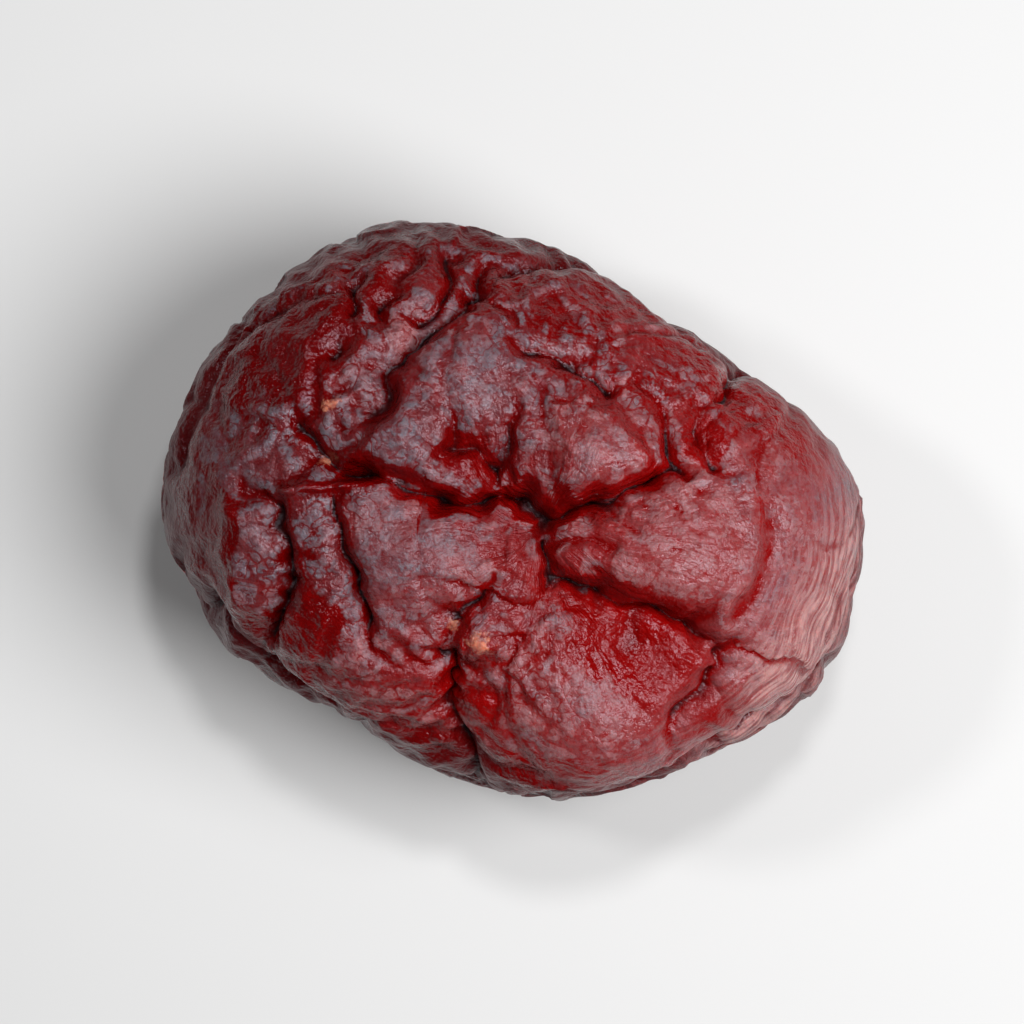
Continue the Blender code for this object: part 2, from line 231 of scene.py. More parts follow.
# Growing skin: steps, share of them in which it lengthens, first unevenness and its size in wrinkles
GROWTH_STEPS = 240
LENGTHENING_SHARE = 0.6
UNEVENNESS = 0.02
UNEVENNESS_SIZE = 0.6

# Stiffness of the skin in its plane and against bending, and share of the flesh's hold that works sideways
SKIN_SPRING = 0.25
SKIN_BENDING = 0.25
FLESH_SIDEWAYS = 0.3

# Share of the speed that the skin keeps from step to step, and share of the force that it gains
SPEED_KEPT = 0.9
SPEED_GAINED = 0.5

# Share of the growth that goes into broad wrinkles, and share of the fine growth that tight skin loses
BROAD_SHARE = 0.5
TIGHT_LOSS = 0.6
BROAD_SEED = SEED + 8
FINE_SEED = SEED + 9

# Rounds of evening out that each kind of relief stands out of
RELIEF_PASSES = {
    "fine_relief": 16,
    "groove_relief": 90,
    "broad_relief": 300,
}

# Named spots that are stored for the material
STORED_SPOTS = {
    "fleck": FLECKS,
    "bare": BARE_PLACES,
    "filmed": FILMED_AND_SHEENED_PLACES,
}

# Upright part of the normal between which the skin comes to face up, and between which the flanks end
UPWARD_SLOPES = (0.50, 0.92)
FLANK_SLOPES = (0.15, 0.75)

# Ways in which the skin's colour changes over the berry, lighter towards the lower right as painted light
# and paler at the right end partly as painted highlight: weights of x, y and z
WAYS = {
    "lengthwise": (1.0, -0.7, 0.0),
    "endwise": (0.85, -0.55, 0.0),
    "height": (0.0, 0.0, 1.0),
}

# Noise patterns: size of the bumps, number of finer layers, strength of each layer
PATTERNS = {
    "patches": (4.0 * MM, 2.0, 0.55),
    "crumpled": (1.7 * MM, 2.0, 0.55),
    "dulling": (1.6 * MM, 1.0, 0.55),
    "tint": (0.9 * MM, 2.0, 0.6),
    "mottling": (0.45 * MM, 2.0, 0.6),
    "grain": (0.26 * MM, 3.0, 0.7),
    "speckle": (0.12 * MM, 1.0, 0.55),
}

# Number of finer layers and their strength, in the rays, in the creases and in the bends of both
RAY_LAYERS = (2.0, 0.6)
CREASE_LAYERS = (2.0, 0.5)
BEND_LAYERS = (0.0, 0.5)

# Rays to the meeting of the folds, streaks along the right rim: centre (x, y), bends, turn, length, fall
RAYS = {
    "rays": ((0.7, -0.4), (1.6 * MM, 0.5 * MM), 0.075, 1.1 * MM, 0.0),
    "streaks": ((1.2, 0.2), (1.5 * MM, 0.45 * MM), 0.16, 0.17 * MM, 1.0),
}

# Creases of the material: distance apart, size and reach of their bends, rise between them
CREASES = {
    "wide_crease": (1.0 * MM, (1.6 * MM, 0.35 * MM), 0.20 * MM),
    "small_crease": (0.42 * MM, (0.8 * MM, 0.15 * MM), 0.12 * MM),
    "hair_crease": (0.19 * MM, None, 0.05 * MM),
}

# Values eased out of others: source, its low and high, and what these become where that isn't 0 and 1
EASED = {
    # Painted light and shade: the red is lighter towards the lower right and darker towards the upper left,
    # over its own patchy tone
    "red_lightness": ("lengthwise", -9.0 * MM, 7.0 * MM),
    # Pale right end and tip on the top: streaky dry skin, partly painted highlight where the end faces the
    # light
    "above_side": ("height", 3.6 * MM, 6.4 * MM),
    "right_end": ("endwise", 4.6 * MM, 6.6 * MM),
    "right_tip": ("endwise", 6.1 * MM, 7.4 * MM),
    # Painted shade at the bottom of the shallow valleys
    "valley": ("broad_relief", -0.06, -0.18),
    # Painted shade at the bottom of the deep folds
    "fold_bottom": ("groove_relief", -0.06, -0.18),
    "vein_width": ("crumpled", 0.36, 0.64, 0.015, 0.110),
    "small_vein_width": ("patches", 0.40, 0.60, 0.055, 0.008),
    "film_and_sheen_over_veins": ("tight", 0.1, 0.6, 0.15, 0.55),
    # Painted shade: a dark film laid into the broad hollows
    "painted_shade_in_hollows": ("broad_relief", -0.04, -0.24, 0.0, 0.9),
    "film_and_sheen_off_folds": ("groove_relief", -0.28, -0.13),
    "film_and_sheen_off_flanks": ("flank", 0.58, 0.12),
    "film_and_sheen_off_wrinkles": ("fine_relief", -0.030, -0.004),
    "film_and_sheen_off_speckles": ("speckle", 0.34, 0.52, 0.45, 1.0),
    # Painted shade: the film darkened in the broad hollows
    "painted_shade_on_film": ("broad_relief", 0.04, -0.16, 0.0, 0.88),
    "pale_off_wrinkles": ("fine_relief", -0.025, 0.005),
    "tan": ("mottling", 0.40, 0.62),
    "crumpling": ("tight", 0.0, 0.6, 1.0, 0.6),
}

# Sums of the material: what is added, the value at which it adds nothing, weight
RED_LIGHTNESS_SUM = (("patches", 0.5, 1.2), ("mottling", 0.5, 0.9))
FILM_AND_SHEEN_LIGHTNESS_SUM = (("tint", 0.58, 1.6), ("filmed", 0.0, 0.5), ("speckle", 0.5, 0.8))
# Sum for the film, which is partly a dull film and partly a painted sheen on the upward faces
FILM_AND_SHEEN_SUM = (
    ("grain", 0.5, 1.3),
    ("crumpled", 0.5, 1.7),
    ("patches", 0.5, 1.2),
    ("rays", 0.5, 1.3),
    ("tight_and_upward", 0.0, 1.1),
    ("filmed", 0.0, 0.35),
    # Painted shade: more film in the hollows, darkened there
    ("painted_shade_in_hollows", 0.0, 1.0),
    ("bare", 0.0, -3.5),
)
FLECK_SUM = (("grain", 0.5, 2.2),)
ROUGHNESS_SUM = (("film_and_sheen", 0.0, 0.20), ("bare", 0.0, 0.05), ("flank", 0.0, 0.15), ("fold_bottom", 0.0, 0.25))
RISE_SUM = (("rays", 0.0, 0.08 * MM), ("grain", 0.0, 0.06 * MM))

# Ranges of those sums over which the film with its painted sheen, the worn pale tip with its painted
# highlight, and the flecks set in
FILM_AND_SHEEN_EDGE = (0.46, 0.82)
WORN_EDGE = (0.80, 1.25, 0.25, 0.9)
FLECK_EDGE = (0.55, 1.0)

# Range of the grain over which the film and its painted sheen thicken, and its thinnest share
FILM_AND_SHEEN_GRAIN = (0.35, 0.62)
THINNEST_FILM_AND_SHEEN = 0.60

# Range of the streaks over which the pale end, partly painted highlight, thickens, and its thinnest cover
PALE_STREAKS = (0.36, 0.62)
THINNEST_PALE = 0.25

# Fully clear part of a vein's width, and how far the flanks take on their painted shade
VEIN_CORE = 0.3
FLANK_COVER = 0.85

# Range of the dulling pattern, and how far it takes the roughness below and above its mean
DULLING_RANGE = (0.35, 0.65)
ROUGHNESS_BELOW = 0.06
ROUGHNESS_ABOVE = 0.10

# How light bends in the skin, and how far red, green and blue light spread in the flesh beside each other
SKIN_IOR = 1.5
GLOW_SPREAD = (1.0, 0.10, 0.07)

# Colour sockets of a mix node: the two inputs and the output
MIX_INPUTS = (6, 7)
MIX_OUTPUT = 2

# Lights: place and width in metres
LIGHTS = {
    "key_light": ((0.045, -0.008, 0.080), 0.060),
    "fill_light": ((0.01, 0.04, 0.12), 0.014),
    "left_light": ((-0.05, 0.02, 0.09), 0.014),
}
WHITE = (1.0, 1.0, 1.0, 1.0)

# Floor and camera
FLOOR_ROUGHNESS = 0.9
VIEW_MARGIN = 1.45
LENS = 200.0
NEAREST_SEEN = 0.002


def turned(points):
    """Plan coordinates of points along and across the body's long axis."""
    c, s = math.cos(LONG_AXIS_TURN), math.sin(LONG_AXIS_TURN)
    return points[:, 0] * c + points[:, 1] * s, points[:, 1] * c - points[:, 0] * s


def body_point(directions):
    """Where rays from the centre along the given unit directions leave the plump body."""
    along, across = turned(directions)
    e = BODY_SQUARENESS
    reach = np.abs(2.0 * along / BODY_LENGTH) ** e
    reach += np.abs(2.0 * across / BODY_WIDTH) ** e
    reach += np.abs(2.0 * directions[:, 2] / BODY_HEIGHT) ** e
    return directions * reach[:, None] ** (-1.0 / e)


def body_normal(points):
    """Outward unit normals of the plump body at points on it."""
    along, across = turned(points)
    e = BODY_SQUARENESS - 1.0
    g_along = np.sign(along) * np.abs(2.0 * along / BODY_LENGTH) ** e / BODY_LENGTH
    g_across = np.sign(across) * np.abs(2.0 * across / BODY_WIDTH) ** e / BODY_WIDTH
    g_up = np.sign(points[:, 2]) * np.abs(2.0 * points[:, 2] / BODY_HEIGHT) ** e / BODY_HEIGHT
    c, s = math.cos(LONG_AXIS_TURN), math.sin(LONG_AXIS_TURN)
    normals = np.column_stack([g_along * c - g_across * s, g_along * s + g_across * c, g_up])
    return normals / np.linalg.norm(normals, axis=1)[:, None]


def on_top(plan):
    """The body's top face over plan points."""
    plan = np.atleast_2d(np.asarray(plan, float))
    along, across = turned(plan)
    e = BODY_SQUARENESS
    left = 1.0 - np.abs(2.0 * along / BODY_LENGTH) ** e - np.abs(2.0 * across / BODY_WIDTH) ** e
    return np.column_stack([plan, 0.5 * BODY_HEIGHT * np.maximum(left, 0.0) ** (1.0 / e)])


def towards(azimuth, elevation):
    """Unit directions from angles in degrees."""
    a, b = np.radians(azimuth), np.radians(elevation)
    return np.column_stack([np.cos(a) * np.cos(b), np.sin(a) * np.cos(b), np.sin(b)])


def smooth_step(value, low, high):
    """0 up to the low value, 1 from the high one, and eased between."""
    t = np.clip((value - low) / (high - low), 0.0, 1.0)
    return t * t * (3.0 - 2.0 * t)


def soft_noise(points, size, seed):
    """Smooth noise from about -1 to 1, with bumps of the given size."""
    shift = Vector([step * seed + 0.5 for step in NOISE_STEPS])
    return np.array([noise.noise(Vector(p) / size + shift) for p in points])


def wavering(points, reach, size, seed):
    """The points, each moved a little, so that what is laid out by them wanders."""
    return points + reach * np.stack([soft_noise(points, size, seed + k) for k in range(3)], axis=1)


def creased(points):
    """How far the creases lift each point: sharp valleys and a few ridges along the borders of cells."""
    shift = Vector(CREASE_SHIFT)
    turn_x, turn_y, turn_z = PICK_TURNS
    lift = np.zeros(len(points))
    for i, point in enumerate(wavering(points, *CREASE_BENDS)):
        q = Vector(point) / CREASE_SPACING + shift
        own, *others = noise.voronoi(q)[1][:3]
        for other in others:
            middle = (own + other) / 2.0
            gap = (middle - q).dot((other - own).normalized()) * CREASE_SPACING
            pick = math.sin(middle.x * turn_x + middle.y * turn_y + middle.z * turn_z) * PICK_STRETCH
            pick -= math.floor(pick)
            valley = pick < CREASE_VALLEY_SHARE
            height = pick / CREASE_VALLEY_SHARE - 1.0 if valley else pick - CREASE_VALLEY_SHARE
            lift[i] += CREASE_DEPTH * height * math.exp(-max(gap, 0.0) / CREASE_WIDTH)
    return lift


def top_fold_lines():
    """Each top fold as a short polyline on the top face, with its depth, half width and lips."""
    for start, end, bow, depth, width, lip_left, lip_right in TOP_FOLDS.values():
        a, b = np.array(start), np.array(end)
        t = np.linspace(0.0, 1.0, FOLD_POINTS)[:, None]
        left = np.array([a[1] - b[1], b[0] - a[0]]) / np.linalg.norm(b - a)
        yield on_top(a + (b - a) * t + left * bow * 4.0 * t * (1.0 - t)), depth, width, lip_left, lip_right


def side_fold_lines():
    """Long folds spread round the sides and the underside, roughly level and one above the other."""
    draw = random.Random(SEED)
    low, high = SIDE_FOLD_HEIGHTS
    for k in range(SIDE_FOLD_COUNT):
        share = (k + 0.5) / SIDE_FOLD_COUNT
        middle_up = low + (high - low) * share ** SIDE_FOLD_CROWDING
        middle_up += draw.uniform(-SIDE_FOLD_STRAY_UP, SIDE_FOLD_STRAY_UP)
        middle_round = GOLDEN_TURN * k + draw.uniform(-SIDE_FOLD_STRAY_ROUND, SIDE_FOLD_STRAY_ROUND)
        girth = max(math.cos(math.radians(middle_up)), SIDE_FOLD_LEAST_GIRTH)
        span = draw.uniform(*SIDE_FOLD_SPANS) / girth
        slant = draw.uniform(-SIDE_FOLD_SLANT, SIDE_FOLD_SLANT)
        bow = draw.uniform(-SIDE_FOLD_BOW, SIDE_FOLD_BOW)
        depth = draw.uniform(*SIDE_FOLD_DEPTHS)
        width = draw.uniform(*SIDE_FOLD_WIDTHS)
        t = np.linspace(-1.0, 1.0, SIDE_FOLD_POINTS)
        elevation = middle_up + t * slant + bow * (1.0 - t * t)
        line = body_point(towards(middle_round + t * span / 2.0, elevation))
        depth *= looseness(line[SIDE_FOLD_POINTS // 2:][:1])[0]
        yield line, depth, width, SIDE_FOLD_LIP * depth, SIDE_FOLD_LIP * depth


def nearest_on_line(points, line):
    """For each point: its gap to the line, the share of the line up to there, the place and the heading."""
    gap = np.full(len(points), np.inf)
    share = np.zeros(len(points))
    place = np.zeros_like(points)
    heading = np.zeros_like(points)
    pieces = len(line) - 1
    for k in range(pieces):
        step = line[k + 1] - line[k]
        t = np.clip((points - line[k]) @ step / (step @ step), 0.0, 1.0)
        foot = line[k] + t[:, None] * step
        distance = np.linalg.norm(points - foot, axis=1)
        closer = distance < gap
        gap[closer] = distance[closer]
        share[closer] = (k + t[closer]) / pieces
        place[closer] = foot[closer]
        heading[closer] = step / np.linalg.norm(step)
    return gap, share, place, heading


def looseness(points):
    """How loose the skin is at each point: 1, and less on the tight patches."""
    kept = np.ones(len(points))
    for centre, reach, taken in TIGHT_PATCHES.values():
        gap = np.linalg.norm(points - on_top(centre)[0], axis=1)
        kept *= 1.0 - taken * np.exp(-(gap / reach) ** 2)
    return kept


def swelled(points):
    """How far the soft swellings and hollows lift each point."""
    lift = np.zeros(len(points))
    for centre, reach, rise in TOP_SWELLS.values():
        gap = np.linalg.norm(points - on_top(centre)[0], axis=1)
        lift += rise * np.exp(-(gap / reach) ** 2)
    for angle, reach, rise in RIM_SWELLS.values():
        gap = np.linalg.norm(points - body_point(towards([angle], [0.0]))[0], axis=1)
        lift += rise * np.exp(-(gap / reach) ** 2)
    return lift


def folded(points, normals):
    """How far the folds lift each point, and how far they draw it sideways to close over the valley."""
    lift = np.zeros(len(points))
    slide = np.zeros_like(points)
    wandering = wavering(wavering(points, *FOLD_BENDS), *FOLD_KINKS)
    for line, depth, width, lip_left, lip_right in [*top_fold_lines(), *side_fold_lines()]:
        gap, share, place, heading = nearest_on_line(wandering, line)
        fade = smooth_step(share, 0.0, FOLD_FADE) * smooth_step(1.0 - share, 0.0, FOLD_FADE)
        strength = FOLD_END_STRENGTH + (1.0 - FOLD_END_STRENGTH) * fade
        lift -= depth * strength * np.exp(-gap / width)
        to_left = np.einsum("ij,ij->i", np.cross(normals, heading), wandering - place)
        lip = np.where(to_left > 0.0, lip_left, lip_right)
        lip_place = FOLD_LIP_PLACE * width
        lift += lip * strength * gap / lip_place * np.exp(1.0 - gap / lip_place)
        inward = (place - wandering) / np.maximum(gap, SMALLEST_GAP)[:, None]
        pull = FOLD_CLOSING * max(-1.0, min(depth, 1.0)) * strength * gap * np.exp(1.0 - gap / width)
        slide += inward * pull[:, None]
    return lift, slide


def above_foot(points):
    """1 over most of the berry, falling to 0 at the flat spot."""
    return smooth_step(points[:, 2] + 0.5 * BODY_HEIGHT, *FOOT_HEIGHTS)


def shaped(directions):
    """The berry's surface along unit directions from the centre of the plump body."""
    points = body_point(directions)
    normals = body_normal(points)
    free = above_foot(points)
    lift, slide = folded(points, normals)
    lift += creased(points) * looseness(points)
    lift *= FOOT_RELIEF + (1.0 - FOOT_RELIEF) * free
    slide *= free[:, None]
    return points + normals * (lift + swelled(points))[:, None] + slide


def sphere_grid(level):
    """A mesh of a cube split into a fine grid, the unit direction of each vertex, and its quads."""
    bpy.ops.mesh.primitive_cube_add(size=2.0)
    cube = bpy.context.object
    split = cube.modifiers.new("split", "SUBSURF")
    split.subdivision_type = "SIMPLE"
    split.levels = split.render_levels = level
    mesh = bpy.data.meshes.new_from_object(cube.evaluated_get(bpy.context.evaluated_depsgraph_get()))
    bpy.data.objects.remove(cube)
    corners = np.zeros(3 * len(mesh.vertices))
    mesh.vertices.foreach_get("co", corners)
    # Bending the grid by the tangent makes its cells nearly equal on the sphere
    corners = np.tan(corners.reshape(-1, 3) * math.pi / 4.0)
    quads = np.zeros(4 * len(mesh.polygons), int)
    mesh.polygons.foreach_get("vertices", quads)
    return mesh, corners / np.linalg.norm(corners, axis=1)[:, None], quads.reshape(-1, 4)


def neighbour_tables(quads, count):
    """For each vertex its neighbours along the grid and across its cells, filled up with itself."""
    beside = [set() for _ in range(count)]
    across = [set() for _ in range(count)]
    for a, b, c, d in quads.tolist():
        beside[a].update((b, d))
        beside[b].update((a, c))
        beside[c].update((b, d))
        beside[d].update((c, a))
        across[a].add(c)
        across[c].add(a)
        across[b].add(d)
        across[d].add(b)
    beside = np.array([sorted(near) + [i] * (4 - len(near)) for i, near in enumerate(beside)])
    across = np.array([sorted(near) + [i] * (4 - len(near)) for i, near in enumerate(across)])
    return beside, across


def vertex_normals(points, quads):
    """Unit normals at the corners, from the quads round each."""
    a, b, c, d = quads.T
    facing = np.cross(points[c] - points[a], points[d] - points[b])
    normals = np.zeros_like(points)
    for corners in quads.T:
        for axis in range(3):
            normals[:, axis] += np.bincount(corners, weights=facing[:, axis], minlength=len(points))
    return normals / np.linalg.norm(normals, axis=1)[:, None]


def grown(points, quads, beside, across, growth, wave, seed):
    """Lets the skin grow by the given share on its soft flesh, until it buckles into wrinkles.

    Springs between neighbours lengthen step by step. Bending and the flesh resist, which sets the wrinkles'
    natural length, wave. The flesh gives way to both sides alike.
    """
    start = points.astype(np.float32)
    normals = vertex_normals(start, quads).astype(np.float32)
    near = np.concatenate([beside, across], axis=1)
    first_length = np.linalg.norm(start[near] - start[:, None, :], axis=2)
    linked = first_length > 0.0
    cell = float(first_length[:, :beside.shape[1]].mean())
    growth = growth.astype(np.float32)
    longer = first_length * 0.5 * (growth[near] + growth[:, None])
    flesh = SKIN_BENDING * (2.0 * math.pi * cell / wave) ** 4 / 4.0
    unevenness = UNEVENNESS * soft_noise(start, UNEVENNESS_SIZE * wave, seed).astype(np.float32)
    moved = normals * unevenness[:, None]
    speed = np.zeros_like(moved)
    for step in range(GROWTH_STEPS):
        share = min(1.0, step / (LENGTHENING_SHARE * GROWTH_STEPS))
        place = start + moved
        gap = place[near] - place[:, None, :]
        length = np.sqrt(np.einsum("nkc,nkc->nk", gap, gap))
        stretch = (first_length + share * longer) / np.maximum(length, SMALLEST_GAP)
        strain = np.where(linked, 1.0 - stretch, 0.0)
        force = SKIN_SPRING * np.einsum("nk,nkc->nc", strain, gap)
        bend = moved[beside].mean(axis=1) - moved
        force -= SKIN_BENDING * (bend[beside].mean(axis=1) - bend)
        rise = np.einsum("nc,nc->n", moved, normals)[:, None] * normals
        force -= flesh * (rise + FLESH_SIDEWAYS * (moved - rise))
        speed = SPEED_KEPT * speed + SPEED_GAINED * force
        moved += speed
    return (start + moved).astype(float)


def stands_out(points, normals, beside, passes):
    """How far each point stands out of the surface evened out over the given number of passes."""
    even = points.copy()
    for _ in range(passes):
        even = 0.5 * even + 0.5 * even[beside].mean(axis=1)
    return np.einsum("ij,ij->i", points - even, normals)


def covered(points, spots):
    """How much each point lies in one of the named round spots of the top face, from 0 to 1."""
    share = np.zeros(len(points))
    for centre, reach in spots.values():
        gap = np.linalg.norm(points - on_top(centre)[0], axis=1)
        share = np.maximum(share, np.exp(-(gap / reach) ** 2))
    return share


def store(mesh, name, values):
    """Keeps one number for each vertex where the material can read it."""
    attribute = mesh.attributes.new(name, "FLOAT", "POINT")
    attribute.data.foreach_set("value", values.astype(np.float32))


def fitted_to_box(points, form):
    """The points in metres, cut level at the flat spot, scaled to the box that the form asks for."""
    level = points[:, 2].min() + FLAT_SPOT_DEPTH
    points[:, 2] = np.maximum(points[:, 2], level)
    low, high = points.min(axis=0), points.max(axis=0)
    wanted = np.array([form.length, form.width, form.height])
    middle = np.array([0.5 * (low[0] + high[0]), 0.5 * (low[1] + high[1]), level])
    return (points - middle) * wanted / (high - low)


class NodeSheet:
    """Adds shader nodes to a material and links them."""

    def __init__(self, material):
        material.use_nodes = True
        self.tree = material.node_tree
        self.shader = self.tree.nodes["Principled BSDF"]

    def add(self, kind, **settings):
        """A new node with the given settings."""
        node = self.tree.nodes.new(kind)
        for key, value in settings.items():
            setattr(node, key, value)
        return node

    def feed(self, socket, value):
        """Links an output socket, or sets a plain value."""
        if isinstance(value, bpy.types.NodeSocket):
            self.tree.links.new(value, socket)
        else:
            socket.default_value = value

    def math(self, operation, first, second=0.0):
        """A number worked out of one or two others."""
        node = self.add("ShaderNodeMath", operation=operation)
        self.feed(node.inputs[0], first)
        self.feed(node.inputs[1], second)
        return node.outputs[0]

    def product(self, first, *others):
        """All the numbers times each other."""
        for other in others:
            first = self.math("MULTIPLY", first, other)
        return first

    def total(self, start, parts, values, clamp=False):
        """The start and each of the parts: a named value, counted from its middle, times its weight."""
        result = start
        for name, middle, weight in parts:
            part = self.math("MULTIPLY", self.math("SUBTRACT", values[name], middle), weight)
            result = self.math("ADD", result, part)
        result.node.use_clamp = clamp
        return result

    def vector(self, operation, *values):
        """A node that works on up to three vectors."""
        node = self.add("ShaderNodeVectorMath", operation=operation)
        for socket, value in zip(node.inputs, values):
            self.feed(socket, value)
        return node

    def spread(self, value, low, high, to_low=0.0, to_high=1.0):
        """A value eased from one range into another."""
        node = self.add("ShaderNodeMapRange", interpolation_type="SMOOTHSTEP")
        names = ("Value", "From Min", "From Max", "To Min", "To Max")
        for name, number in zip(names, (value, low, high, to_low, to_high)):
            self.feed(node.inputs[name], number)
        return node.outputs["Result"]

    def blend(self, share, first, second):
        """The first colour, with the given share of the second."""
        node = self.add("ShaderNodeMix", data_type="RGBA")
        self.feed(node.inputs["Factor"], share)
        for index, colour in zip(MIX_INPUTS, (first, second)):
            plain = not isinstance(colour, bpy.types.NodeSocket)
            self.feed(node.inputs[index], (*colour, 1.0) if plain else colour)
        return node.outputs[MIX_OUTPUT]

    def attribute(self, name):
        """A number that is stored on the mesh."""
        return self.add("ShaderNodeAttribute", attribute_name=name).outputs["Fac"]

    def noise_node(self, place, size, layers, strength):
        """Noise whose bumps have the given size, with finer layers on them."""
        node = self.add("ShaderNodeTexNoise")
        self.feed(node.inputs["Vector"], place)
        for name, number in (("Scale", 1.0 / size), ("Detail", layers), ("Roughness", strength)):
            node.inputs[name].default_value = number
        return node

    def noise(self, place, size, layers, strength):
        """The same noise as a number, from 0 to 1."""
        return self.noise_node(place, size, layers, strength).outputs["Fac"]

    def crease(self, place, spacing):
        """How far off the nearest crease a point lies, from 0 to about a third."""
        return self.math("ABSOLUTE", self.math("SUBTRACT", self.noise(place, spacing, *CREASE_LAYERS), 0.5))

    def wandering(self, place, size, reach):
        """Coordinates that wander by up to about the given reach, in bends of the given size."""
        bends = self.noise_node(place, size, *BEND_LAYERS).outputs["Color"]
        centred = self.vector("SUBTRACT", bends, (0.5,) * 3).outputs["Vector"]
        return self.vector("MULTIPLY_ADD", centred, (2.0 * reach,) * 3, place).outputs["Vector"]

    def rays(self, place, centre, turn, length, fall):
        """Noise round a centre in plan, of about the given turn and length.

        Short turns make rays, and long ones rings. With a fall, the length is counted down the sides too.
        """
        shift = (-centre[0] * MM, -centre[1] * MM, 0.0)
        level = self.vector("MULTIPLY_ADD", place, (1.0, 1.0, 0.0), shift).outputs["Vector"]
        distance = self.vector("LENGTH", level).outputs["Value"]
        counted_up = self.vector("DOT_PRODUCT", place, (0.0, 0.0, fall)).outputs["Value"]
        outward = self.add("ShaderNodeCombineXYZ")
        reach = self.math("SUBTRACT", distance, counted_up)
        self.feed(outward.inputs["Z"], self.math("MULTIPLY", reach, turn / length))
        heading = self.vector("NORMALIZE", level).outputs["Vector"]
        joined = self.vector("ADD", heading, outward.outputs["Vector"]).outputs["Vector"]
        return self.noise(joined, turn, *RAY_LAYERS)


def skin_values(sheet):
    """The named values over the skin that its colour, roughness and relief are made of."""
    place = sheet.add("ShaderNodeTexCoord").outputs["Object"]
    values = {}
    for name in ("upward", "flank", "tight", *RELIEF_PASSES, *STORED_SPOTS):
        values[name] = sheet.attribute(name)
    for name, weights in WAYS.items():
        values[name] = sheet.vector("DOT_PRODUCT", place, weights).outputs["Value"]
    for name, settings in PATTERNS.items():
        values[name] = sheet.noise(place, *settings)
    for name, (centre, bends, *sizes) in RAYS.items():
        values[name] = sheet.rays(sheet.wandering(place, *bends), centre, *sizes)
    for name, (spacing, bends, _) in CREASES.items():
        values[name] = sheet.crease(sheet.wandering(place, *bends) if bends else place, spacing)
    for name, (source, *numbers) in EASED.items():
        values[name] = sheet.spread(values[source], *numbers)
    values["not_bare"] = sheet.math("SUBTRACT", 1.0, values["bare"])
    values["tight_and_upward"] = sheet.product(values["tight"], values["upward"])
    for name in ("valley", "fold_bottom"):
        values[name] = sheet.product(values[name], values["not_bare"])
    values["lightness"] = sheet.total(values["red_lightness"], RED_LIGHTNESS_SUM, values, clamp=True)
    return values


def film_and_sheen_cover(sheet, values, full):
    """How thickly the dull film and its painted sheen lie on the skin, thick in the hollows as painted
    shade: broken by veins, and in streaks at the right end, where the pale is partly painted highlight.
    """
    width = values["vein_width"]
    veins = sheet.spread(values["wide_crease"], sheet.product(width, VEIN_CORE), width)
    veins = sheet.product(veins, sheet.spread(values["small_crease"], 0.0, values["small_vein_width"]))
    veins = sheet.math("MAXIMUM", veins, values["film_and_sheen_over_veins"])
    # Painted sheen: the film starts from the faces turned up and is taken off folds, flanks and wrinkles
    film_and_sheen = sheet.spread(sheet.total(values["upward"], FILM_AND_SHEEN_SUM, values), *FILM_AND_SHEEN_EDGE)
    for name in ("film_and_sheen_off_folds", "film_and_sheen_off_flanks", "film_and_sheen_off_wrinkles"):
        film_and_sheen = sheet.product(film_and_sheen, values[name])
    grainy = sheet.spread(values["grain"], *FILM_AND_SHEEN_GRAIN, THINNEST_FILM_AND_SHEEN * full, full)
    film_and_sheen = sheet.product(film_and_sheen, veins, grainy, values["film_and_sheen_off_speckles"])
    # Pale right end on the top: streaky dry skin, partly painted highlight
    streaky = sheet.spread(values["streaks"], *PALE_STREAKS, THINNEST_PALE, full)
    pale = sheet.product(values["right_end"], values["above_side"], streaky, values["not_bare"])
    return sheet.math("MAXIMUM", film_and_sheen, sheet.product(pale, values["pale_off_wrinkles"]))


def skin_colour(sheet, values, skin):
    """Red flesh under its film and painted sheen, lighter towards the lower right as painted light, with
    painted shade in the valleys, folds, flanks and hollows, a pale tip that is partly painted highlight,
    and tan flecks.
    """
    # Red lighter towards the lower right as painted light, patchy in its own tone
    colour = sheet.blend(values["lightness"], skin.deep_red, skin.bright_red)
    # Painted shade in the valleys
    colour = sheet.blend(values["valley"], colour, skin.painted_valley_shade)
    # Painted shade on the flanks and underside
    colour = sheet.blend(sheet.product(values["flank"], FLANK_COVER), colour, skin.painted_flank_shade)
    # Painted shade in the deep folds
    colour = sheet.blend(values["fold_bottom"], colour, skin.painted_fold_shade)
    film_and_sheen_lightness = sheet.total(values["lightness"], FILM_AND_SHEEN_LIGHTNESS_SUM, values, clamp=True)
    tinted = sheet.blend(film_and_sheen_lightness, skin.dark_film_and_sheen, skin.light_film_and_sheen)
    # Painted shade on the film in the hollows
    tinted = sheet.blend(values["painted_shade_on_film"], tinted, skin.painted_hollow_shade)
    # Pale tip: worn streaks, partly painted highlight
    worn = sheet.spread(sheet.math("ADD", values["streaks"], values["grain"]), *WORN_EDGE)
    tip = sheet.product(values["right_tip"], values["above_side"], worn)
    tinted = sheet.blend(tip, tinted, skin.pale_tip_and_highlight)
    # Film colour over the red: partly a dull film, partly a painted sheen
    colour = sheet.blend(values["film_and_sheen"], colour, tinted)
    flecked = sheet.spread(sheet.total(values["fleck"], FLECK_SUM, values), *FLECK_EDGE)
    fleck = sheet.blend(values["tan"], skin.fleck_brown, skin.fleck_tan)
    return sheet.blend(flecked, colour, fleck)


